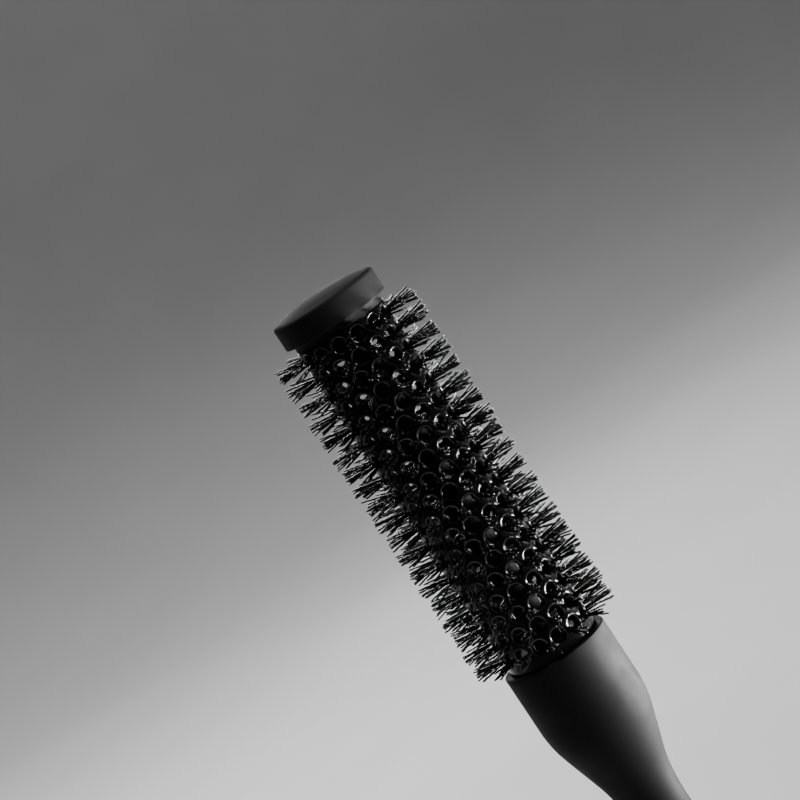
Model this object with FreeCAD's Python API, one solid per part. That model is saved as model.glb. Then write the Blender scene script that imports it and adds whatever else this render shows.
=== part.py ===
import FreeCAD, Part
import math
import os

from FreeCAD import Vector

# Round barrel brush, in millimetres. It stands on the flat butt of its handle: the origin is the centre
# of that butt, and +Z runs along the brush to the end cap.

# Handle
HANDLE_LENGTH = 128.0
HANDLE_RIM_RADIUS = 16.2
HANDLE_COLLAR_HEIGHT = 19.0
HANDLE_WAIST_RADIUS = 8.9
HANDLE_BELLY_RADIUS = 10.6
HANDLE_BUTT_RADIUS = 7.4
SLEEVE_THICKNESS = 1.4
RIM_EDGE_RADIUS = 0.4

# Barrel
BARREL_RADIUS = 14.0
BARREL_WALL = 0.8
BARREL_IN_HANDLE = 8.0
VISIBLE_BARREL = 111.0
NECK_HEIGHT = 2.4
NECK_RADIUS = 13.9

# Pattern of vents and tufts, which take turns round the barrel and along it
VENT_COLUMNS = 14
HOLE_ROWS = 19
ROW_PITCH = 5.57
FIRST_ROW_ABOVE_HANDLE = 5.3
VENT_RADIUS = 2.25
VENT_FLARE_RADIUS = 2.65
VENT_FLARE_DEPTH = 0.45
STRIP_VENT_RADIUS = 2.0
TUFT_HOLE_RADIUS = 0.56
TUFT_ROOT_RADIUS = 0.5
TUFT_TIP_RADIUS = 1.75
BRISTLE_RADIUS = 23.0

# End cap
CAP_RADIUS = 16.15
CAP_SIDE_HEIGHT = 6.0
CAP_CORNER_RADIUS = 1.4
CAP_DOME_RISE = 1.6
CAP_WALL = 1.7

# Inner pieces
CLEARANCE = 0.05
ROD_CLEARANCE = 0.15
STRIP_INNER_RADIUS = 11.5
TUFT_SOCKET_RADIUS = 12.1
CORE_HUB_RADIUS = 4.2
ARM_THICKNESS = 1.0
STAR_COUNT = 5
STAR_RIM_WIDTH = 1.2
SPIGOT_RADIUS = 9.75
TIE_ROD_RADIUS = 2.0
PIN_RADIUS = 0.8
PIN_COUNT = 3
PIN_START_RADIUS = 10.0

# Heights worked out from the driving dimensions
HANDLE_RIM_Z = HANDLE_LENGTH
BARREL_START_Z = HANDLE_RIM_Z - BARREL_IN_HANDLE
CAP_START_Z = HANDLE_RIM_Z + VISIBLE_BARREL
BARREL_END_Z = CAP_START_Z - NECK_HEIGHT
RING_FLANGE = 0.7
RING_LIP = 1.5
STRIP_START_Z = HANDLE_RIM_Z - 1.5
STRIP_END_Z = BARREL_END_Z - RING_FLANGE
CORE_START_Z = HANDLE_RIM_Z + 3.0
CORE_END_Z = BARREL_END_Z - 7.5
PIN_Z = HANDLE_RIM_Z - 5.0
CAP_TOP_Z = CAP_START_Z + CAP_SIDE_HEIGHT + CAP_CORNER_RADIUS + CAP_DOME_RISE
FLANGE_TOP_Z = CAP_START_Z + 2.5

BARREL_BORE = BARREL_RADIUS - BARREL_WALL
INNER_FIT_RADIUS = BARREL_BORE - CLEARANCE
INSIDE_STRIPS = STRIP_INNER_RADIUS - 1.5
OUTSIDE_BARREL = BARREL_RADIUS + 0.3
CORE_RIM_RADIUS = HANDLE_RIM_RADIUS - SLEEVE_THICKNESS
ROD_BORE = TIE_ROD_RADIUS + ROD_CLEARANCE
COLUMN_ANGLE = 360.0 / VENT_COLUMNS
HALF_COLUMN = COLUMN_ANGLE / 2
Z_AXIS = Vector(0, 0, 1)
ORIGIN = Vector(0, 0, 0)


def export(shape, node):
    """Write one node, and say how large it is."""
    shape.exportStep("parts/" + node + ".step")
    print(node, len(shape.Solids), "solid(s)", round(shape.Volume, 1), "mm3", "valid", shape.isValid())


def cylinder(radius, low, high):
    """A cylinder about the brush's axis from one height to another."""
    return Part.makeCylinder(radius, high - low, Vector(0, 0, low))


def ring(inner, outer, low, high):
    """A plain ring about the brush's axis."""
    return cylinder(outer, low, high).cut(cylinder(inner, low - 1, high + 1))


def revolve(points):
    """Turn a closed outline of (radius, height) corners about the brush's axis."""
    corners = [Vector(radius, 0, height) for radius, height in points]
    face = Part.Face(Part.makePolygon(corners + corners[:1]))
    return face.revolve(ORIGIN, Z_AXIS, 360)


def radial_cylinder(radius, start, end, height, angle):
    """A cylinder that points out from the axis at one height and angle."""
    direction = Vector(math.cos(math.radians(angle)), math.sin(math.radians(angle)), 0)
    return Part.makeCylinder(radius, end - start, direction * start + Z_AXIS * height, direction)


def turned(shape, angle):
    """A copy of a shape turned about the brush's axis."""
    copy = shape.copy()
    copy.rotate(ORIGIN, Z_AXIS, angle)
    return copy


def row_heights():
    """Heights of the rows of holes, from the handle up."""
    first = HANDLE_RIM_Z + FIRST_ROW_ABOVE_HANDLE
    return [first + row * ROW_PITCH for row in range(HOLE_ROWS)]


def vent_places():
    """(height, angle) of the vents of one column, and of those half a column on."""
    heights = row_heights()
    return [(height, 0.0) for height in heights[::2]] + [(height, HALF_COLUMN) for height in heights[1::2]]


def tuft_places():
    """(height, angle) of the tufts of one strip, which stand where its vents leave room."""
    heights = row_heights()
    return [(height, 0.0) for height in heights[1::2]] + [(height, HALF_COLUMN) for height in heights[::2]]


# Barrel and bristles

def vent_cutter(height, angle):
    """The space of one vent, which flares at the barrel's outer face."""
    start = BARREL_BORE - 0.5
    flare_start = BARREL_RADIUS - VENT_FLARE_DEPTH
    slope = (VENT_FLARE_RADIUS - VENT_RADIUS) / VENT_FLARE_DEPTH
    past = OUTSIDE_BARREL - BARREL_RADIUS
    outline = [
        (0, start),
        (VENT_RADIUS, start),
        (VENT_RADIUS, flare_start),
        (VENT_FLARE_RADIUS + past * slope, OUTSIDE_BARREL),
        (0, OUTSIDE_BARREL),
    ]
    cutter = revolve(outline)
    cutter.rotate(ORIGIN, Vector(0, 1, 0), 90)
    cutter.rotate(ORIGIN, Z_AXIS, angle)
    cutter.translate(Z_AXIS * height)
    return cutter


def pin_angles():
    """Angles of the pins that lock the barrel in the handle."""
    return [90 + index * 360 / PIN_COUNT for index in range(PIN_COUNT)]


def pin_holes():
    """Holes for the lock pins, from the spigot to the outside of the cup."""
    end = CORE_RIM_RADIUS + 1
    return [radial_cylinder(PIN_RADIUS, PIN_START_RADIUS, end, PIN_Z, angle) for angle in pin_angles()]


def make_barrel():
    """The coated aluminium tube with its vents, tuft holes and pin holes."""
    seam_angle = 0.25 * COLUMN_ANGLE
    tube = turned(ring(BARREL_BORE, BARREL_RADIUS, BARREL_START_Z, BARREL_END_Z), seam_angle)
    tuft_hole_start = BARREL_BORE - 0.2
    cutters = pin_holes()
    for column in range(VENT_COLUMNS):
        angle = column * COLUMN_ANGLE
        cutters += [vent_cutter(height, angle + offset) for height, offset in vent_places()]
        for height, offset in tuft_places():
            place = angle + offset
            cutters.append(radial_cylinder(TUFT_HOLE_RADIUS, tuft_hole_start, OUTSIDE_BARREL, height, place))
    return tube.cut(Part.makeCompound(cutters))


def make_bristle_strip():
    """A moulded strip inside the barrel that holds two columns of tufts, with room for the vents."""
    quarter = COLUMN_ANGLE / 4
    gap = 0.25
    low = STRIP_START_Z
    base = Vector(0, 0, low)
    strip = Part.makeCylinder(INNER_FIT_RADIUS, STRIP_END_Z - low, base, Z_AXIS, COLUMN_ANGLE - gap)
    strip = strip.cut(cylinder(STRIP_INNER_RADIUS, low - 1, STRIP_END_Z + 1))
    strip.rotate(ORIGIN, Z_AXIS, gap / 2 - quarter)
    cutters = []
    for height, angle in vent_places():
        neighbour = COLUMN_ANGLE if angle == 0 else -angle
        for place in (angle, neighbour):
            cutters.append(radial_cylinder(STRIP_VENT_RADIUS, INSIDE_STRIPS, OUTSIDE_BARREL, height, place))
    for height, angle in tuft_places():
        cutters.append(radial_cylinder(TUFT_ROOT_RADIUS, TUFT_SOCKET_RADIUS, OUTSIDE_BARREL, height, angle))
    return strip.cut(Part.makeCompound(cutters))


def make_tuft(height, angle):
    """One tuft: a slim root through strip and barrel, then a bundle that spreads to the tips."""
    root_end = BARREL_RADIUS + 0.4
    root_base = Vector(0, 0, TUFT_SOCKET_RADIUS)
    root = Part.makeCylinder(TUFT_ROOT_RADIUS, root_end - TUFT_SOCKET_RADIUS, root_base)
    bundle_base = Vector(0, 0, root_end)
    bundle = Part.makeCone(TUFT_ROOT_RADIUS, TUFT_TIP_RADIUS, BRISTLE_RADIUS - root_end, bundle_base)
    tuft = root.fuse(bundle)
    tuft.rotate(ORIGIN, Vector(0, 1, 0), 90)
    tuft.rotate(ORIGIN, Z_AXIS, angle)
    tuft.translate(Z_AXIS * height)
    return tuft


def make_bristle_row():
    """The tufts of one strip, each its own solid."""
    return Part.makeCompound([make_tuft(height, angle) for height, angle in tuft_places()])


def make_lock_ring(flange_z, lip_direction):
    """A stepped ring that closes one end of the strips and carries them on its lip."""
    flange_end = flange_z + lip_direction * RING_FLANGE
    lip_end = flange_end + lip_direction * RING_LIP
    lip_radius = STRIP_INNER_RADIUS - CLEARANCE
    inner = SPIGOT_RADIUS + CLEARANCE
    outline = [
        (inner, flange_z),
        (INNER_FIT_RADIUS, flange_z),
        (INNER_FIT_RADIUS, flange_end),
        (lip_radius, flange_end),
        (lip_radius, lip_end),
        (inner, lip_end),
    ]
    return revolve(outline)


def star_heights():
    """Heights of the spreader's stars, in the solid bands between two rows of holes."""
    heights = row_heights()
    step = (HOLE_ROWS - 3) // (STAR_COUNT - 1)
    return [heights[1 + star * step] - ROW_PITCH / 2 for star in range(STAR_COUNT)]


def make_spreader_core():
    """The core that presses the strips against the barrel: a slim hub with open stars on it."""
    star_radius = STRIP_INNER_RADIUS - CLEARANCE
    arm_root = CORE_HUB_RADIUS - 0.5
    arm_end = star_radius - STAR_RIM_WIDTH / 2
    pieces = []
    for height in star_heights():
        low = height - ARM_THICKNESS / 2
        pieces.append(ring(star_radius - STAR_RIM_WIDTH, star_radius, low, low + ARM_THICKNESS))
        for column in range(VENT_COLUMNS // 2):
            start = Vector(arm_root, -ARM_THICKNESS / 2, low)
            arm = Part.makeBox(arm_end - arm_root, ARM_THICKNESS, ARM_THICKNESS, start)
            pieces.append(turned(arm, 2 * column * COLUMN_ANGLE + HALF_COLUMN))
    hub = cylinder(CORE_HUB_RADIUS, CORE_START_Z, CORE_END_Z)
    core = hub.multiFuse(pieces).removeSplitter()
    return core.cut(cylinder(ROD_BORE, CORE_START_Z - 1, CORE_END_Z + 1))


# Front end

SNAP_LOW_Z = CAP_START_Z + 1.1
SNAP_HIGH_Z = CAP_START_Z + 1.7
SNAP_DEPTH = 0.3
CAP_BORE = CAP_RADIUS - CAP_WALL


def make_front_plug():
    """The plug in the barrel's end, with the neck, the flange that the cap snaps on, and a spigot."""
    flange = CAP_BORE - CLEARANCE
    outline = [
        (ROD_BORE, CORE_END_Z),
        (SPIGOT_RADIUS, CORE_END_Z),
        (SPIGOT_RADIUS, BARREL_END_Z),
        (NECK_RADIUS, BARREL_END_Z),
        (NECK_RADIUS, CAP_START_Z),
        (flange, CAP_START_Z),
        (flange, SNAP_LOW_Z - CLEARANCE),
        (flange - SNAP_DEPTH, SNAP_LOW_Z - CLEARANCE),
        (flange - SNAP_DEPTH, SNAP_HIGH_Z + CLEARANCE),
        (flange, SNAP_HIGH_Z + CLEARANCE),
        (flange, FLANGE_TOP_Z),
        (ROD_BORE, FLANGE_TOP_Z),
    ]
    return revolve(outline)


def cap_face(radius, corner, side_top, top, low):
    """The half section of a domed disc: straight side, round corner and a shallow dome."""
    shoulder = radius - corner
    dome_height = top - side_top - corner
    slope = math.asin(2 * shoulder * dome_height / (shoulder ** 2 + dome_height ** 2))
    turn = (math.pi / 2 + slope) / 2
    centre = Vector(shoulder, 0, side_top)
    corner_end = centre + Vector(math.sin(slope) * corner, 0, math.cos(slope) * corner)
    corner_middle = centre + Vector(math.sin(turn) * corner, 0, math.cos(turn) * corner)
    rise = top - corner_end.z
    sphere_radius = (corner_end.x ** 2 + rise ** 2) / (2 * rise)
    middle = corner_end.x / 2
    drop = sphere_radius - math.sqrt(sphere_radius ** 2 - middle ** 2)
    edges = [
        Part.makeLine(Vector(0, 0, low), Vector(radius, 0, low)),
        Part.makeLine(Vector(radius, 0, low), Vector(radius, 0, side_top)),
        Part.Arc(Vector(radius, 0, side_top), corner_middle, corner_end).toShape(),
        Part.Arc(corner_end, Vector(middle, 0, top - drop), Vector(0, 0, top)).toShape(),
        Part.makeLine(Vector(0, 0, top), Vector(0, 0, low)),
    ]
    return Part.Face(Part.Wire(edges))


def make_end_cap():
    """The domed end cap: a shell that snaps over the front plug."""
    side_top = CAP_START_Z + CAP_SIDE_HEIGHT
    outside = cap_face(CAP_RADIUS, CAP_CORNER_RADIUS, side_top, CAP_TOP_Z, CAP_START_Z)
    inside_top = side_top - CAP_WALL
    inside = cap_face(CAP_BORE, CAP_CORNER_RADIUS, inside_top, CAP_TOP_Z - CAP_WALL, CAP_START_Z - 1)
    shell = outside.revolve(ORIGIN, Z_AXIS, 360).cut(inside.revolve(ORIGIN, Z_AXIS, 360))
    bead = ring(CAP_BORE - SNAP_DEPTH, CAP_BORE + 0.2, SNAP_LOW_Z, SNAP_HIGH_Z)
    return shell.fuse(bead).removeSplitter()


WASHER_RADIUS = 4.5
WASHER_THICKNESS = 0.8
NUT_HEIGHT = 3.0
NUT_ACROSS_FLATS = 7.0
INSERT_TOP_Z = HANDLE_RIM_Z - 16.0
INSERT_LENGTH = 12.0
INSERT_RADIUS = 3.2
NUT_START_Z = FLANGE_TOP_Z + WASHER_THICKNESS
INSERT_START_Z = INSERT_TOP_Z - INSERT_LENGTH


def make_tie_rod():
    """The rod that pulls the front plug, core and handle together."""
    rod = cylinder(TIE_ROD_RADIUS, INSERT_START_Z + 1, NUT_START_Z + NUT_HEIGHT + 0.4)
    return rod.makeChamfer(0.3, [edge for edge in rod.Edges if edge.Closed])


def make_tie_washer():
    """The washer under the nut."""
    return ring(ROD_BORE, WASHER_RADIUS, FLANGE_TOP_Z, NUT_START_Z)


def make_tie_nut():
    """The hexagon nut under the end cap."""
    low = NUT_START_Z
    corner = NUT_ACROSS_FLATS / math.sqrt(3)
    corners = []
    for index in range(6):
        angle = math.radians(60 * index)
        corners.append(Vector(corner * math.cos(angle), corner * math.sin(angle), low))
    hexagon = Part.Face(Part.makePolygon(corners + corners[:1])).extrude(Z_AXIS * NUT_HEIGHT)
    return hexagon.cut(cylinder(TIE_ROD_RADIUS, low - 1, low + NUT_HEIGHT + 1))


# Handle

def handle_face(inset, low, high):
    """The half section of the handle, set in from its outer face by a thickness."""
    collar_z = HANDLE_RIM_Z - HANDLE_COLLAR_HEIGHT
    shape_points = [
        (HANDLE_RIM_RADIUS, collar_z),
        (HANDLE_RIM_RADIUS - 2.3, collar_z - 12.0),
        (HANDLE_WAIST_RADIUS + 1.3, collar_z - 24.0),
        (HANDLE_WAIST_RADIUS, collar_z - 38.0),
        (HANDLE_BELLY_RADIUS - 0.5, collar_z - 60.0),
        (HANDLE_BELLY_RADIUS, collar_z - 80.0),
        (HANDLE_BELLY_RADIUS - 0.6, 9.0),
    ]
    points = [Vector(radius - inset, 0, height) for radius, height in shape_points]
    side = Part.BSplineCurve()
    side.interpolate(Points=points, InitialTangent=Vector(0, 0, -12), FinalTangent=Vector(-1.2, 0, -9))
    rim = HANDLE_RIM_RADIUS - inset
    butt = HANDLE_BUTT_RADIUS - inset / 2
    end = Part.BezierCurve()
    butt_corner = Vector(butt, 0, low)
    end.setPoles([points[-1], points[-1] + Vector(-0.8, 0, -6), butt_corner + Vector(1.6, 0, 0), butt_corner])
    edges = [
        Part.makeLine(Vector(0, 0, low), Vector(0, 0, high)),
        Part.makeLine(Vector(0, 0, high), Vector(rim, 0, high)),
        Part.makeLine(Vector(rim, 0, high), points[0]),
        side.toShape(),
        end.toShape(),
        Part.makeLine(Vector(butt, 0, low), Vector(0, 0, low)),
    ]
    return Part.Face(Part.Wire(edges))


CORE_TOP_Z = HANDLE_RIM_Z - SLEEVE_THICKNESS
CORE_BOTTOM_Z = SLEEVE_THICKNESS
CUP_FLOOR_Z = BARREL_START_Z - 1.0
CAVITY_RADIUS = 4.6
CAVITY_TOP_Z = INSERT_START_Z - 6.0
BUTT_PLUG_RADIUS = 5.4


def round_rim(shape, height, radius):
    """Round the outer edge of a flat end."""
    edges = []
    for edge in shape.Edges:
        box = edge.BoundBox
        if edge.Closed and abs(box.ZMin - height) < 0.01 and abs(box.ZMax - height) < 0.01:
            edges.append(edge)
    return shape.makeFillet(radius, edges)


def make_handle_sleeve():
    """The soft-touch sleeve over the handle's side and over the face around the barrel."""
    outside = handle_face(0, 0, HANDLE_RIM_Z).revolve(ORIGIN, Z_AXIS, 360)
    outside = round_rim(outside, HANDLE_RIM_Z, RIM_EDGE_RADIUS)
    inside = handle_face(SLEEVE_THICKNESS, CORE_BOTTOM_Z, CORE_TOP_Z).revolve(ORIGIN, Z_AXIS, 360)
    sleeve = outside.cut(inside)
    sleeve = sleeve.cut(cylinder(BARREL_RADIUS + CLEARANCE, CORE_TOP_Z - 1, HANDLE_RIM_Z + 1))
    return sleeve.cut(cylinder(BUTT_PLUG_RADIUS + CLEARANCE, -1, CORE_BOTTOM_Z + 1))


def make_handle_core():
    """The hard core of the handle, with the cup and spigot for the barrel."""
    core = handle_face(SLEEVE_THICKNESS, CORE_BOTTOM_Z, CORE_TOP_Z).revolve(ORIGIN, Z_AXIS, 360)
    ledge_z = STRIP_START_Z - RING_FLANGE
    core = core.cut(ring(INNER_FIT_RADIUS, BARREL_RADIUS + CLEARANCE, CUP_FLOOR_Z, HANDLE_RIM_Z))
    core = core.cut(ring(SPIGOT_RADIUS, BARREL_RADIUS, ledge_z, HANDLE_RIM_Z))
    core = core.fuse(cylinder(SPIGOT_RADIUS, ledge_z - 1, CORE_START_Z)).removeSplitter()
    core = core.cut(cylinder(ROD_BORE, CAVITY_TOP_Z - 1, CORE_START_Z + 1))
    core = core.cut(cylinder(INSERT_RADIUS, INSERT_START_Z, INSERT_TOP_Z))
    core = core.cut(cylinder(CAVITY_RADIUS, CORE_BOTTOM_Z - 1, CAVITY_TOP_Z))
    core = core.cut(Part.makeCompound(pin_holes()))
    return core


def make_thread_insert():
    """The brass insert that the tie rod screws into, with two grip grooves."""
    insert = ring(TIE_ROD_RADIUS, INSERT_RADIUS, INSERT_START_Z, INSERT_TOP_Z)
    groove_depth = 0.4
    groove_width = 1.5
    for groove_z in (INSERT_START_Z + 3, INSERT_START_Z + 7.5):
        groove = ring(INSERT_RADIUS - groove_depth, INSERT_RADIUS + 1, groove_z, groove_z + groove_width)
        insert = insert.cut(groove)
    return insert


def make_insulating_ring():
    """The ring that keeps the hot end of the barrel off the handle core."""
    return ring(INNER_FIT_RADIUS + CLEARANCE, BARREL_RADIUS, CUP_FLOOR_Z, BARREL_START_Z)


def make_barrel_pins():
    """The pins that lock the barrel in the handle, hidden under the sleeve."""
    end = CORE_RIM_RADIUS - 0.1
    pins = [radial_cylinder(PIN_RADIUS, PIN_START_RADIUS, end, PIN_Z, angle) for angle in pin_angles()]
    return Part.makeCompound(pins)


def make_butt_plug():
    """The plug that closes the hollow handle, flush with the butt."""
    skirt_top = 9.0
    skirt_wall = 1.2
    floor_top = 2.4
    skirt = CAVITY_RADIUS - CLEARANCE
    outline = [
        (0, 0),
        (BUTT_PLUG_RADIUS, 0),
        (BUTT_PLUG_RADIUS, CORE_BOTTOM_Z),
        (skirt, CORE_BOTTOM_Z),
        (skirt, skirt_top),
        (skirt - skirt_wall, skirt_top),
        (skirt - skirt_wall, floor_top),
        (0, floor_top),
    ]
    return revolve(outline)


def main():
    os.makedirs("parts", exist_ok=True)
    export(make_barrel(), "barrel")
    strip = make_bristle_strip()
    row = make_bristle_row()
    for column in range(VENT_COLUMNS):
        number = "%02d" % (column + 1)
        export(turned(strip, column * COLUMN_ANGLE), "bristle_strip_" + number)
        export(turned(row, column * COLUMN_ANGLE), "bristle_row_" + number)
    export(make_spreader_core(), "spreader_core")
    export(make_lock_ring(BARREL_END_Z, -1), "front_lock_ring")
    export(make_lock_ring(STRIP_START_Z - RING_FLANGE, 1), "rear_lock_ring")
    export(make_front_plug(), "front_plug")
    export(make_end_cap(), "end_cap")
    export(make_tie_rod(), "tie_rod")
    export(make_tie_washer(), "tie_washer")
    export(make_tie_nut(), "tie_nut")
    export(make_handle_sleeve(), "handle_sleeve")
    export(make_handle_core(), "handle_core")
    export(make_thread_insert(), "thread_insert")
    export(make_insulating_ring(), "insulating_ring")
    export(make_barrel_pins(), "barrel_pins")
    export(make_butt_plug(), "butt_plug")


main()
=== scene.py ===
import bisect
import math
import random

import bpy
from mathutils import Matrix, Vector


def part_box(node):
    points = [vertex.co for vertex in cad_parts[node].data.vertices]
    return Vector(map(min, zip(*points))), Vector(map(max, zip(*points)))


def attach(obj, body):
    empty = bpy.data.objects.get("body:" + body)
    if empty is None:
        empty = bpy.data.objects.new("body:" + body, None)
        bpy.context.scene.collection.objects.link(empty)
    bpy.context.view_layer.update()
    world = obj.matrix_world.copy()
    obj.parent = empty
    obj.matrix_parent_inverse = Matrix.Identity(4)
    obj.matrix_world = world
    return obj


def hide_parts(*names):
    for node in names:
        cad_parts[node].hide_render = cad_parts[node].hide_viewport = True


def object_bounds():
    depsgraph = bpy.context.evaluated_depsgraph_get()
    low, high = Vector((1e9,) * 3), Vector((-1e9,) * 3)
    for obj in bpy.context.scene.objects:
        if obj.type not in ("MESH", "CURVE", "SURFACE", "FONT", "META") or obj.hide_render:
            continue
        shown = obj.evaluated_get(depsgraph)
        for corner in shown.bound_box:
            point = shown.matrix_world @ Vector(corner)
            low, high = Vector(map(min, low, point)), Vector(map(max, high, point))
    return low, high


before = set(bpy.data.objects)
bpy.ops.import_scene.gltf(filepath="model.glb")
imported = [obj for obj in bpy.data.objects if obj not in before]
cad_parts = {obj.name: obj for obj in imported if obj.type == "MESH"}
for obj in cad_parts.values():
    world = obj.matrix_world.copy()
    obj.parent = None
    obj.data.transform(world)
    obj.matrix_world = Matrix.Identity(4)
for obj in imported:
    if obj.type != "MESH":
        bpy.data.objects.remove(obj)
CAD_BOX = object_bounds()
MM = 0.001

# The pattern of the brush head, as in the CAD model: vents and tufts take turns round it and along it.
# The vents alone differ: their bores are slightly narrower than in the CAD, and their lips wider.

COLUMNS = 14
ROWS = 19
ROW_PITCH = 5.57 * MM
COLUMN_ANGLE = 2 * math.pi / COLUMNS
BARREL_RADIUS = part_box("barrel")[1][0]
BARREL_WALL = 0.8 * MM
FIRST_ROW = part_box("handle_sleeve")[1][2] + 5.3 * MM
VENT_RADIUS = 2.12 * MM
VENT_LIP_RADIUS = 2.76 * MM
VENT_LIP_SWELL = 0.06 * MM
VENT_LIP_STEPS = 4
TUFT_HOLE_RADIUS = 0.5 * MM
BRISTLE_RADIUS = CAD_BOX[1][0]


# Mesh helpers

def new_object(name, verts, faces):
    """A mesh object in the scene, made from points and faces."""
    mesh = bpy.data.meshes.new(name)
    mesh.from_pydata(verts, [], faces)
    mesh.validate()
    mesh.polygons.foreach_set("use_smooth", [True] * len(mesh.polygons))
    obj = bpy.data.objects.new(name, mesh)
    bpy.context.scene.collection.objects.link(obj)
    return obj


def revolve(name, outline, segments=160):
    """A closed outline of (radius, height) turned about the Z axis. A radius of zero is a single point."""
    verts = []
    rings = []
    for radius, height in outline:
        if radius < 1e-7:
            rings.append([len(verts)] * segments)
            verts.append((0, 0, height))
            continue
        rings.append(list(range(len(verts), len(verts) + segments)))
        for index in range(segments):
            angle = 2 * math.pi * index / segments
            verts.append((radius * math.cos(angle), radius * math.sin(angle), height))
    faces = []
    for low, high in zip(rings, rings[1:] + rings[:1]):
        for index in range(segments):
            after = (index + 1) % segments
            corners = [low[index], low[after], high[after], high[index]]
            face = [corner for place, corner in enumerate(corners) if corner not in corners[:place]]
            if len(face) > 2:
                faces.append(face)
    return new_object(name, verts, faces)


def arc_points(centre, radius, start, end, steps):
    """Points of an arc in the (radius, height) plane, with its angles in degrees."""
    points = []
    for step in range(steps + 1):
        angle = math.radians(start + (end - start) * step / steps)
        points.append((centre[0] + radius * math.cos(angle), centre[1] + radius * math.sin(angle)))
    return points


# Barrel

class BarrelSkin:
    """Collects the barrel's faces, where points that coincide are one point."""

    def __init__(self):
        self.verts = []
        self.faces = []
        self.rims = []
        self.known = {}

    def point(self, across, height, depth):
        """A point by its arc length round the barrel, its height and its depth below the outer face."""
        angle = across / BARREL_RADIUS
        turn = round(angle / (2 * math.pi) * 1e6) % 1000000
        key = (turn, round(height * 1e7), round(depth * 1e7))
        if key not in self.known:
            radius = BARREL_RADIUS - depth
            self.known[key] = len(self.verts)
            self.verts.append((radius * math.cos(angle), radius * math.sin(angle), height))
        return self.known[key]

    def line(self, across, height, offsets, depth):
        """Points at one depth, by their offsets from a place on the barrel."""
        return [self.point(across + x, height + y, depth) for x, y in offsets]

    def join(self, first, second, closed=True):
        """Faces between two lines of points."""
        last = len(first) if closed else len(first) - 1
        for index in range(last):
            after = (index + 1) % len(first)
            self.faces.append((first[index], first[after], second[after], second[index]))


def stretch(start, end, steps):
    """Points of a straight line, without its last one."""
    return [(start[0] + (end[0] - start[0]) * step / steps, start[1] + (end[1] - start[1]) * step / steps)
            for step in range(steps)]


SIDE_STEPS = 2
NOTCH_STEPS = 6
EDGE_STEPS = 8
SIDE_POINTS = 2 * SIDE_STEPS + NOTCH_STEPS


def brick_outline(half_width, half_height, notch):
    """Points round a brick, counter-clockwise from its lower right, with half a tuft hole in each side."""
    points = []
    for side in (1, -1):
        x = side * half_width
        points += stretch((x, -side * half_height), (x, -side * notch), SIDE_STEPS)
        for step in range(NOTCH_STEPS):
            angle = math.pi * step / NOTCH_STEPS
            points.append((x - side * notch * math.sin(angle), -side * notch * math.cos(angle)))
        points += stretch((x, side * notch), (x, side * half_height), SIDE_STEPS)
        points += stretch((x, side * half_height), (-x, side * half_height), EDGE_STEPS)
    return points


def circle(radius):
    """Points round a vent, each opposite a point of the brick's outline."""
    count = 2 * (SIDE_POINTS + EDGE_STEPS)
    start = -math.pi * SIDE_POINTS / count
    angles = [start + 2 * math.pi * index / count for index in range(count)]
    return [(radius * math.cos(angle), radius * math.sin(angle)) for angle in angles]


def lip_profile(outer, inner, rise, steps):
    """(radius, depth) of a vent's edge, which rolls in from the outer face, down to the inner face."""
    reach = outer - inner
    profile = []
    for step in range(steps + 1):
        angle = math.pi / 2 * step / steps
        swell = rise * math.sin(2 * angle) ** 2
        profile.append((outer - reach * math.sin(angle), reach * (1 - math.cos(angle)) - swell))
    return profile + [(inner, BARREL_WALL * 0.85), (inner + BARREL_WALL * 0.15, BARREL_WALL)]


def add_brick(skin, across, height, half_width, profile):
    """The barrel round one vent, as wide as the vents' spacing, with its halves of two tuft holes."""
    rim_rings = range(2, len(profile))
    outside = brick_outline(half_width, ROW_PITCH / 2, TUFT_HOLE_RADIUS)
    inside = brick_outline(half_width, ROW_PITCH / 2, TUFT_HOLE_RADIUS * 0.94)
    lip = circle(profile[0][0])
    middle = [((x0 + x1) / 2, (y0 + y1) / 2) for (x0, y0), (x1, y1) in zip(outside, lip)]
    rings = [skin.line(across, height, outside, 0), skin.line(across, height, middle, 0)]
    for radius, depth in profile:
        rings.append(skin.line(across, height, circle(radius), depth))
    rings.append(skin.line(across, height, inside, BARREL_WALL))
    for number, (first, second) in enumerate(zip(rings, rings[1:])):
        start = len(skin.faces)
        skin.join(first, second)
        if number in rim_rings:
            skin.rims += range(start, len(skin.faces))
    half_round = len(outside) // 2
    for start in (SIDE_STEPS, half_round + SIDE_STEPS):
        part = slice(start, start + NOTCH_STEPS + 1)
        walls = [skin.line(across, height, outside[part], 0)]
        walls.append(skin.line(across, height, inside[part], BARREL_WALL * 0.1))
        walls.append(skin.line(across, height, inside[part], BARREL_WALL))
        for first, second in zip(walls, walls[1:]):
            skin.join(second, first, closed=False)


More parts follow.
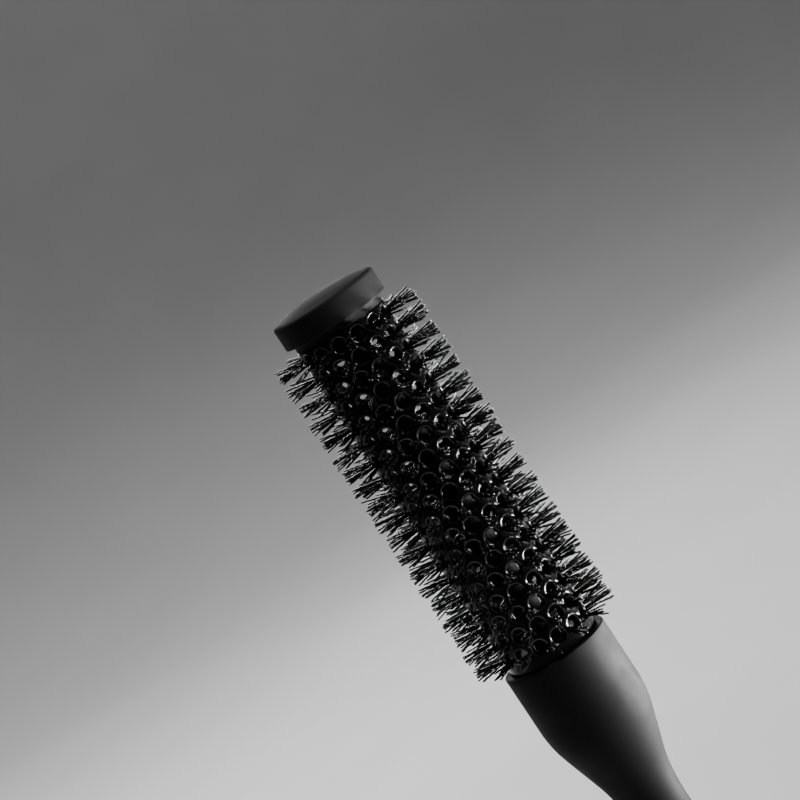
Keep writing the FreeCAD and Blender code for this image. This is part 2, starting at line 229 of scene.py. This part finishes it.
def make_barrel(coat, rim_coat):
    """The perforated barrel, with rolled vent rims and small tuft holes between them."""
    skin = BarrelSkin()
    half_width = math.pi * BARREL_RADIUS / COLUMNS
    profile = lip_profile(VENT_LIP_RADIUS, VENT_RADIUS, VENT_LIP_SWELL, VENT_LIP_STEPS)
    for row in range(ROWS):
        for column in range(COLUMNS):
            across = (2 * column + row % 2) * half_width
            add_brick(skin, across, FIRST_ROW + row * ROW_PITCH, half_width, profile)
    round_steps = COLUMNS * EDGE_STEPS
    offsets = [(2 * half_width * step / EDGE_STEPS, 0) for step in range(round_steps)]
    low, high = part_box("barrel")[0][2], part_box("barrel")[1][2]
    first_edge = FIRST_ROW - ROW_PITCH / 2
    last_edge = FIRST_ROW + (ROWS - 0.5) * ROW_PITCH
    heights = [low, (2 * low + first_edge) / 3, (low + 2 * first_edge) / 3, first_edge]
    for bottom, top in list(zip(heights, heights[1:])) + [(last_edge, high)]:
        skin.join(skin.line(0, bottom, offsets, 0), skin.line(0, top, offsets, 0))
        skin.join(skin.line(0, top, offsets, BARREL_WALL), skin.line(0, bottom, offsets, BARREL_WALL))
    skin.join(skin.line(0, high, offsets, 0), skin.line(0, high, offsets, BARREL_WALL))
    skin.join(skin.line(0, low, offsets, BARREL_WALL), skin.line(0, low, offsets, 0))
    barrel = new_object("barrel_shell", skin.verts, skin.faces)
    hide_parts("barrel")
    finish_piece(barrel, coat)
    barrel.data.materials.append(rim_coat)
    for face in skin.rims:
        barrel.data.polygons[face].material_index = 1


# Bristles

FILAMENT_RADIUS = 0.265 * MM
FILAMENTS_ROUND = 7
FILAMENT_SIDES = 6
FILAMENT_STEPS = 24
ROOT_START = 12.3 * MM
ROOT_RING_RADIUS = 0.27 * MM
CRIMP_LENGTHS_MM = (1.7, 2.4)
CRIMP_HEIGHTS_MM = (0.04, 0.08)
CRIMP_GROWTH = 1.2 * MM
MIDDLE_SPREADS = (0, 0.05)
ROUND_SPREADS = (0.07, 0.22)
STRAY_SHARE = 0.08
TIP_UNEVENNESS_MM = 0.45
MAX_SHORTFALL_MM = 1.5
TIP_CLEARANCE = 0.1 * MM


def filament_line(rng, root, splay, bow, tip):
    """The centre line of one crimped filament, along +X from inside the strip to its tip."""
    wave_length = rng.uniform(*CRIMP_LENGTHS_MM) * MM
    wave_height = rng.uniform(*CRIMP_HEIGHTS_MM) * MM
    phase = rng.uniform(0, 2 * math.pi)
    plane = rng.uniform(0, math.pi)
    points = []
    for step in range(FILAMENT_STEPS + 1):
        x = ROOT_START + (tip - ROOT_START) * step / FILAMENT_STEPS
        free = max(0.0, x - BARREL_RADIUS)
        share = free / (tip - BARREL_RADIUS)
        growth = min(1.0, free / CRIMP_GROWTH)
        wave = wave_height * growth * math.sin(2 * math.pi * free / wave_length + phase)
        bend = math.sin(math.pi * share * 0.8)
        y = root[0] + splay[0] * free + wave * math.cos(plane) + bend * bow[0]
        z = root[1] + splay[1] * free + wave * math.sin(plane) + bend * bow[1]
        points.append(Vector((x, y, z)))
    return points


def add_tube(verts, faces, points, radius, sides, turn):
    """A tube round a line, closed at its tip."""
    start = len(verts)
    for index, point in enumerate(points):
        ahead = points[min(index + 1, len(points) - 1)]
        behind = points[max(index - 1, 0)]
        along = (ahead - behind).normalized()
        side = along.cross(Vector((0, 0, 1))).normalized()
        up = side.cross(along)
        size = radius * (0.86 if index == len(points) - 1 else 1)
        for corner in range(sides):
            angle = 2 * math.pi * corner / sides
            place = point + (side * math.cos(angle) + up * math.sin(angle)) * size
            verts.append(turn @ place)
    for index in range(len(points) - 1):
        ring = start + index * sides
        for corner in range(sides):
            after = (corner + 1) % sides
            faces.append((ring + corner, ring + after, ring + sides + after, ring + sides + corner))
    last = start + (len(points) - 1) * sides
    faces.append([last + corner for corner in range(sides)])
    faces.append([start + corner for corner in reversed(range(sides))])


def add_tuft(verts, faces, rng, angle, height):
    """One tuft: a filament in the middle and a ring of them round it, spreading towards the tips."""
    turn = Matrix.Translation((0, 0, height)) @ Matrix.Rotation(angle, 4, "Z")
    lean = (rng.gauss(0, 0.02), rng.gauss(0, 0.03))
    spin = rng.uniform(0, math.pi)
    for index in range(FILAMENTS_ROUND + 1):
        middle = index == FILAMENTS_ROUND
        around = spin + 2 * math.pi * index / FILAMENTS_ROUND + rng.gauss(0, 0.12)
        root = 0 if middle else ROOT_RING_RADIUS
        spread = rng.uniform(*(MIDDLE_SPREADS if middle else ROUND_SPREADS))
        splay = [lean[0] + spread * math.cos(around) + rng.gauss(0, 0.025)]
        splay.append(lean[1] + spread * math.sin(around) + rng.gauss(0, 0.035))
        bow = [rng.gauss(0, 0.07) * MM, rng.gauss(0, 0.07) * MM]
        if rng.random() < STRAY_SHARE:
            splay[1] += rng.choice((-1, 1)) * rng.uniform(0.08, 0.2)
            bow[1] += rng.choice((-1, 1)) * rng.uniform(0.1, 0.5) * MM
        shortfall = min(abs(rng.gauss(0, TIP_UNEVENNESS_MM)), MAX_SHORTFALL_MM) * MM
        tip = BRISTLE_RADIUS - shortfall - TIP_CLEARANCE
        root_place = (root * math.cos(around), root * math.sin(around))
        line = filament_line(rng, root_place, splay, bow, tip)
        add_tube(verts, faces, line, FILAMENT_RADIUS * rng.uniform(0.92, 1.06), FILAMENT_SIDES, turn)


def make_bristle_row(column):
    """The tufts of one strip, which stand where its vents leave room."""
    rng = random.Random(100 + column)
    verts = []
    faces = []
    for row in range(ROWS):
        half_turns = 2 * column + (row + 1) % 2
        add_tuft(verts, faces, rng, half_turns * COLUMN_ANGLE / 2, FIRST_ROW + row * ROW_PITCH)
    number = "%02d" % (column + 1)
    row_object = new_object("filaments_" + number, verts, faces)
    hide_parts("bristle_row_" + number)
    return row_object


# End cap and neck

def make_end_cap():
    """The domed disc of the end cap, a shell with a softly rounded rim."""
    low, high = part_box("end_cap")[0][2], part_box("end_cap")[1][2]
    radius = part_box("end_cap")[1][0]
    corner = 1.4 * MM
    edge = 0.25 * MM
    wall = 1.7 * MM
    dome_rise = 1.6 * MM
    shoulder_z = high - dome_rise
    flat = radius - corner
    dome_radius = (flat ** 2 + dome_rise ** 2) / (2 * dome_rise)
    slope = math.degrees(math.asin(flat / dome_radius))
    outline = [(radius - wall, low), (radius - edge, low)]
    outline += arc_points((radius - edge, low + edge), edge, -60, 0, 3)
    outline += arc_points((flat, shoulder_z - corner), corner, 0, 90 - slope, 10)
    corner_end = outline[-1]
    rise = high - corner_end[1]
    dome_radius = (corner_end[0] ** 2 + rise ** 2) / (2 * rise)
    steps = 14
    for step in range(1, steps + 1):
        reach = corner_end[0] * (1 - step / steps)
        outline.append((reach, high - dome_radius + math.sqrt(dome_radius ** 2 - reach ** 2)))
    inner_top = high - wall
    outline += [(0, inner_top), (radius - wall - corner, inner_top - dome_rise)]
    outline += [(radius - wall, inner_top - dome_rise - corner)]
    cap = revolve("cap_shell", outline)
    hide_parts("end_cap")
    return cap


def make_neck():
    """The front plug: the neck under the cap, its flange inside the cap and its spigot in the barrel."""
    low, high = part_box("front_plug")[0][2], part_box("front_plug")[1][2]
    neck_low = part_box("barrel")[1][2]
    neck_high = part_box("end_cap")[0][2]
    neck_radius = BARREL_RADIUS - 0.1 * MM
    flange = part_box("front_plug")[1][0]
    bore = 2.15 * MM
    spigot = 9.75 * MM
    edge = 0.15 * MM
    outline = [(bore, low), (spigot, low), (spigot, neck_low), (neck_radius - edge, neck_low)]
    outline += arc_points((neck_radius - edge, neck_low + edge), edge, -60, 0, 3)
    outline += [(neck_radius, neck_low + 0.5 * MM), (neck_radius, neck_high), (flange, neck_high)]
    outline += [(flange, high), (bore, high)]
    neck = revolve("neck_plug", outline)
    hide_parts("front_plug")
    return neck


# Handle

def outer_profile(node, levels):
    """(radius, height) of a round CAD node's outer face at evenly spaced heights."""
    heights = {}
    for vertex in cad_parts[node].data.vertices:
        x, y, z = vertex.co
        key = round(z * 1e5)
        heights[key] = max(heights.get(key, 0), math.hypot(x, y))
    keys = sorted(heights)
    kept = []
    for key in keys:
        near = [heights[other] for other in keys if abs(other - key) < 300]
        if heights[key] > max(near) - 0.7 * MM:
            kept.append((key / 1e5, heights[key]))
    zs = [z for z, radius in kept]
    points = []
    for level in levels:
        place = min(max(bisect.bisect_left(zs, level), 1), len(zs) - 1)
        (z0, r0), (z1, r1) = kept[place - 1], kept[place]
        share = min(max((level - z0) / (z1 - z0), 0), 1)
        points.append((r0 + (r1 - r0) * share, level))
    return points


def smoothed(points, rounds):
    """Evens out a profile's radii, and leaves its ends."""
    for _ in range(rounds):
        middle = []
        for before, point, after in zip(points, points[1:], points[2:]):
            middle.append(((before[0] + 2 * point[0] + after[0]) / 4, point[1]))
        points = points[:1] + middle + points[-1:]
    return points


def make_handle_sleeve():
    """The soft-touch sleeve: straight collar, slim waist, gentle belly and a rounded butt."""
    low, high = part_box("handle_sleeve")[0][2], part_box("handle_sleeve")[1][2]
    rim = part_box("handle_sleeve")[1][0]
    thickness = 1.4 * MM
    collar = 19.0 * MM
    edge = 0.4 * MM
    steps = 110
    butt_flat = 7.4 * MM
    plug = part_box("butt_plug")[1][0] + 0.05 * MM
    first_level = low + 0.4 * MM
    span = high - collar - low - 0.4 * MM
    levels = [first_level + span * step / steps for step in range(steps + 1)]
    side = smoothed(outer_profile("handle_sleeve", levels), 6)
    side = [(min(radius, rim), z) for radius, z in side]
    barrel_hole = BARREL_RADIUS + 0.05 * MM
    outline = [(plug, low + thickness), (plug, low + 0.12 * MM), (plug + 0.12 * MM, low)]
    outline += [(butt_flat, low), (butt_flat + 0.7 * MM, low + 0.1 * MM)]
    outline += [point for point in side if point[0] > butt_flat + 0.75 * MM]
    outline += [(rim, high - collar * 0.5)]
    outline += arc_points((rim - edge, high - edge), edge, 0, 90, 7)
    outline += [(barrel_hole + 0.2 * MM, high), (barrel_hole, high - 0.2 * MM)]
    outline += [(barrel_hole, high - thickness)]
    outline += [(rim - thickness, high - thickness), (rim - thickness, high - collar)]
    outline += [(radius - thickness, z) for radius, z in reversed(side[4::4]) if z > low + 2 * thickness]
    sleeve = revolve("handle_grip", outline)
    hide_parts("handle_sleeve")
    return sleeve


# Materials

def node_material(name):
    """A new material with its node tree and shader."""
    material = bpy.data.materials.new(name)
    material.use_nodes = True
    tree = material.node_tree
    return material, tree, tree.nodes["Principled BSDF"]


def noise(tree, scale, detail=3.0, roughness=0.5, stretch=(1, 1, 1)):
    """Noise in object space, with its scale per metre."""
    place = tree.nodes.new("ShaderNodeTexCoord")
    mapping = tree.nodes.new("ShaderNodeMapping")
    mapping.inputs["Scale"].default_value = stretch
    texture = tree.nodes.new("ShaderNodeTexNoise")
    texture.inputs["Scale"].default_value = scale
    texture.inputs["Detail"].default_value = detail
    texture.inputs["Roughness"].default_value = roughness
    tree.links.new(place.outputs["Object"], mapping.inputs["Vector"])
    tree.links.new(mapping.outputs["Vector"], texture.inputs["Vector"])
    return texture.outputs["Fac"]


def ramp(tree, value, low, high, start=0.35, end=0.65):
    """A value spread between two others."""
    node = tree.nodes.new("ShaderNodeMapRange")
    node.inputs["From Min"].default_value = start
    node.inputs["From Max"].default_value = end
    node.inputs["To Min"].default_value = low
    node.inputs["To Max"].default_value = high
    tree.links.new(value, node.inputs["Value"])
    return node.outputs["Result"]


def tint(tree, value, dark, light):
    """A colour between two greys, by a value from 0 to 1."""
    node = tree.nodes.new("ShaderNodeValToRGB")
    node.color_ramp.elements[0].color = (*dark, 1)
    node.color_ramp.elements[1].color = (*light, 1)
    node.color_ramp.elements[0].position = 0.3
    node.color_ramp.elements[1].position = 0.7
    tree.links.new(value, node.inputs["Fac"])
    return node.outputs["Color"]


def bump(tree, heights, shader):
    """Bump from a list of (height, strength, distance), each on top of the one before."""
    normal = None
    for height, strength, distance in heights:
        node = tree.nodes.new("ShaderNodeBump")
        node.inputs["Strength"].default_value = strength
        node.inputs["Distance"].default_value = distance
        tree.links.new(height, node.inputs["Height"])
        if normal:
            tree.links.new(normal, node.inputs["Normal"])
        normal = node.outputs["Normal"]
    tree.links.new(normal, shader.inputs["Normal"])


def ceramic_coat(name, gloss, low_rough, high_rough):
    """Black ceramic coat, with a faint orange peel and light polishing marks."""
    material, tree, shader = node_material(name)
    colour = tint(tree, noise(tree, 220, 4), (0.001, 0.001, 0.001), (0.0026, 0.0026, 0.0026))
    tree.links.new(colour, shader.inputs["Base Color"])
    tree.links.new(ramp(tree, noise(tree, 900, 5, 0.6), low_rough, high_rough), shader.inputs["Roughness"])
    shader.inputs["Specular IOR Level"].default_value = gloss
    bump(tree, [(noise(tree, 1500, 2), 0.06, 0.0002), (noise(tree, 6000, 2), 0.03, 0.00005)], shader)
    return material


def nylon():
    """Black nylon filament, semi gloss, with fine draw marks."""
    material, tree, shader = node_material("nylon")
    colour = tint(tree, noise(tree, 400, 3), (0.002, 0.002, 0.002), (0.006, 0.006, 0.0063))
    tree.links.new(colour, shader.inputs["Base Color"])
    tree.links.new(ramp(tree, noise(tree, 2500, 3), 0.08, 0.18), shader.inputs["Roughness"])
    shader.inputs["Specular IOR Level"].default_value = 0.3
    bump(tree, [(noise(tree, 9000, 2), 0.15, 0.00003)], shader)
    return material


def soft_touch(name, tone):
    """Soft-touch coat: matte black with a fine grain, and slightly polished patches from handling."""
    material, tree, shader = node_material(name)
    patches = noise(tree, 60, 4, 0.6)
    colour = tint(tree, patches, (tone * 0.85,) * 3, (tone * 1.15, tone * 1.15, tone * 1.18))
    tree.links.new(colour, shader.inputs["Base Color"])
    tree.links.new(ramp(tree, noise(tree, 90, 5, 0.65), 0.58, 0.72), shader.inputs["Roughness"])
    shader.inputs["Specular IOR Level"].default_value = 0.09
    bump(tree, [(noise(tree, 3500, 3, 0.6), 0.14, 0.00006), (noise(tree, 9000, 2), 0.1, 0.00003)], shader)
    return material


def moulded(name, dark, light, low_rough, high_rough, gloss):
    """Moulded plastic or rubber with a fine spark-eroded texture."""
    material, tree, shader = node_material(name)
    tree.links.new(tint(tree, noise(tree, 150, 4), dark, light), shader.inputs["Base Color"])
    tree.links.new(ramp(tree, noise(tree, 700, 4), low_rough, high_rough), shader.inputs["Roughness"])
    shader.inputs["Specular IOR Level"].default_value = gloss
    bump(tree, [(noise(tree, 1800, 3), 0.15, 0.00008)], shader)
    return material


def metal(name, dark, light, low_rough, high_rough):
    """Turned or plated metal, with marks that run round the axis."""
    material, tree, shader = node_material(name)
    shader.inputs["Metallic"].default_value = 1.0
    tree.links.new(tint(tree, noise(tree, 300, 4), dark, light), shader.inputs["Base Color"])
    turned = noise(tree, 900, 4, 0.6, stretch=(0.2, 0.2, 6))
    tree.links.new(ramp(tree, turned, low_rough, high_rough), shader.inputs["Roughness"])
    bump(tree, [(turned, 0.1, 0.00004)], shader)
    return material


def backdrop_paint():
    """Matte pale paper for the floor and backdrop."""
    material, tree, shader = node_material("backdrop_paper")
    tree.links.new(tint(tree, noise(tree, 8, 4), (0.60, 0.60, 0.605), (0.64, 0.64, 0.645)),
                   shader.inputs["Base Color"])
    shader.inputs["Roughness"].default_value = 0.9
    shader.inputs["Specular IOR Level"].default_value = 0.2
    return material


# Studio

def make_backdrop():
    """A seamless pale sweep: the floor, a wide curve and the wall behind."""
    half_width = 4.0
    front = -1.0
    curve = 0.7
    wall = 1.9
    wall_height = 4.0
    curve_steps = 24
    line = [(front, 0.0), (wall - curve, 0.0)]
    for step in range(1, curve_steps + 1):
        angle = math.pi / 2 * step / curve_steps
        line.append((wall - curve + curve * math.sin(angle), curve * (1 - math.cos(angle))))
    line.append((wall, wall_height))
    verts = []
    for y, z in line:
        verts += [(-half_width, y, z), (half_width, y, z)]
    faces = [(2 * i, 2 * i + 1, 2 * i + 3, 2 * i + 2) for i in range(len(line) - 1)]
    sweep = new_object("backdrop_sweep", verts, faces)
    sweep.data.materials.append(backdrop_paint())


def area_light(name, azimuth, distance, height, size, power, target=(0, 0, 0.19), spread=80):
    """A soft box at an azimuth from the camera's side, positive to its right, turned to its target."""
    light = bpy.data.lights.new(name, "AREA")
    light.shape = "RECTANGLE"
    light.size, light.size_y = size
    light.energy = power
    light.spread = math.radians(spread)
    angle = math.radians(azimuth)
    place = Vector((distance * math.sin(angle), -distance * math.cos(angle), height))
    obj = bpy.data.objects.new(name, light)
    obj.location = place
    obj.rotation_euler = (Vector(target) - place).to_track_quat("-Z", "Y").to_euler()
    obj.visible_camera = False
    bpy.context.scene.collection.objects.link(obj)


def make_lights():
    """Boxes low and high on the right for crisp glints, a faint one behind, and washes on the sweep."""
    area_light("key_box", 100, 0.25, 0.03, (0.24, 0.036), 2.2)
    area_light("high_box", 64, 1.0, 0.78, (0.16, 0.1), 2.2)
    area_light("top_wash", 0, 0.3, 2.4, (1.5, 1.5), 14, target=(0, -0.3, 0.0), spread=160)
    area_light("back_fill", 180, 1.1, 0.3, (0.4, 0.4), 0.7)
    area_light("near_wash", -150, 0.6, 1.1, (0.4, 0.4), 5.0, target=(-0.2, 0.45, 0.0), spread=104)
    area_light("left_wash", -140, 1.05, 0.9, (0.5, 0.5), 1.8, target=(-0.7, 0.9, 0.0), spread=110)


def make_world():
    """A nearly dark studio, which the camera alone sees as plain grey where the sweep ends."""
    world = bpy.data.worlds.new("studio")
    world.use_nodes = True
    tree = world.node_tree
    rays = tree.nodes.new("ShaderNodeLightPath")
    strength_for_light, strength_for_camera = 0.02, 0.15
    strength = ramp(tree, rays.outputs["Is Camera Ray"], strength_for_light, strength_for_camera, 0, 1)
    background = tree.nodes["Background"]
    background.inputs["Color"].default_value = (0.97, 0.985, 1.0, 1)
    tree.links.new(strength, background.inputs["Strength"])
    bpy.context.scene.world = world


def make_camera():
    """The camera: in front, a little above, and rolled so that the brush leans to the left."""
    elevation = math.radians(7.1)
    roll = math.radians(-33.49)
    distance = 0.7788
    aim = Vector((0.00253, 0, 0.21046))
    place = Vector((0, -distance * math.cos(elevation), aim.z + distance * math.sin(elevation)))
    forward = (aim - place).normalized()
    right = forward.cross(Vector((0, 0, 1))).normalized()
    up = right.cross(forward)
    rolled_right = right * math.cos(roll) + up * math.sin(roll)
    rolled_up = up * math.cos(roll) - right * math.sin(roll)
    axes = Matrix((rolled_right, rolled_up, -forward)).transposed()
    data = bpy.data.cameras.new("camera")
    data.lens = 126.6
    data.sensor_width = 36
    data.clip_start = 0.01
    camera = bpy.data.objects.new("camera", data)
    camera.matrix_world = Matrix.Translation(place) @ axes.to_4x4()
    bpy.context.scene.collection.objects.link(camera)
    bpy.context.scene.camera = camera


def finish_piece(obj, material):
    """Gives a new piece its material and its body."""
    obj.data.materials.clear()
    obj.data.materials.append(material)
    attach(obj, "root")


def paint_node(node, material):
    """Gives a CAD node that still shows its material."""
    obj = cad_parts[node]
    if not obj.material_slots:
        obj.data.materials.append(material)
    for place in obj.material_slots:
        place.material = material


def main():
    """Makes every material and piece, then the studio round them."""
    coat = ceramic_coat("ceramic_coat", 0.08, 0.1, 0.16)
    rim_coat = ceramic_coat("ceramic_rim", 0.5, 0.03, 0.36)
    filament = nylon()
    cap_coat = soft_touch("soft_touch_cap", 0.0085)
    grip_coat = soft_touch("soft_touch_grip", 0.008)
    satin = moulded("satin_plastic", (0.008,) * 3, (0.014,) * 3, 0.5, 0.62, 0.3)
    matte = moulded("matte_plastic", (0.003,) * 3, (0.007,) * 3, 0.65, 0.8, 0.12)
    inner_plastic = moulded("inner_plastic", (0.002,) * 3, (0.004,) * 3, 0.7, 0.85, 0.06)
    silicone = moulded("silicone", (0.3, 0.3, 0.29), (0.36, 0.36, 0.35), 0.6, 0.75, 0.45)
    steel = metal("plated_steel", (0.5, 0.5, 0.5), (0.62, 0.62, 0.63), 0.25, 0.42)
    brass = metal("turned_brass", (0.62, 0.45, 0.18), (0.75, 0.57, 0.26), 0.2, 0.36)

    make_barrel(coat, rim_coat)
    for column in range(COLUMNS):
        finish_piece(make_bristle_row(column), filament)
        paint_node("bristle_strip_%02d" % (column + 1), inner_plastic)
    finish_piece(make_end_cap(), cap_coat)
    finish_piece(make_neck(), matte)
    finish_piece(make_handle_sleeve(), grip_coat)
    for node in ("spreader_core", "front_lock_ring", "rear_lock_ring"):
        paint_node(node, inner_plastic)
    for node in ("handle_core", "butt_plug"):
        paint_node(node, satin)
    for node in ("tie_rod", "tie_washer", "tie_nut", "barrel_pins"):
        paint_node(node, steel)
    paint_node("thread_insert", brass)
    paint_node("insulating_ring", silicone)

    make_backdrop()
    make_lights()
    make_world()
    make_camera()


main()
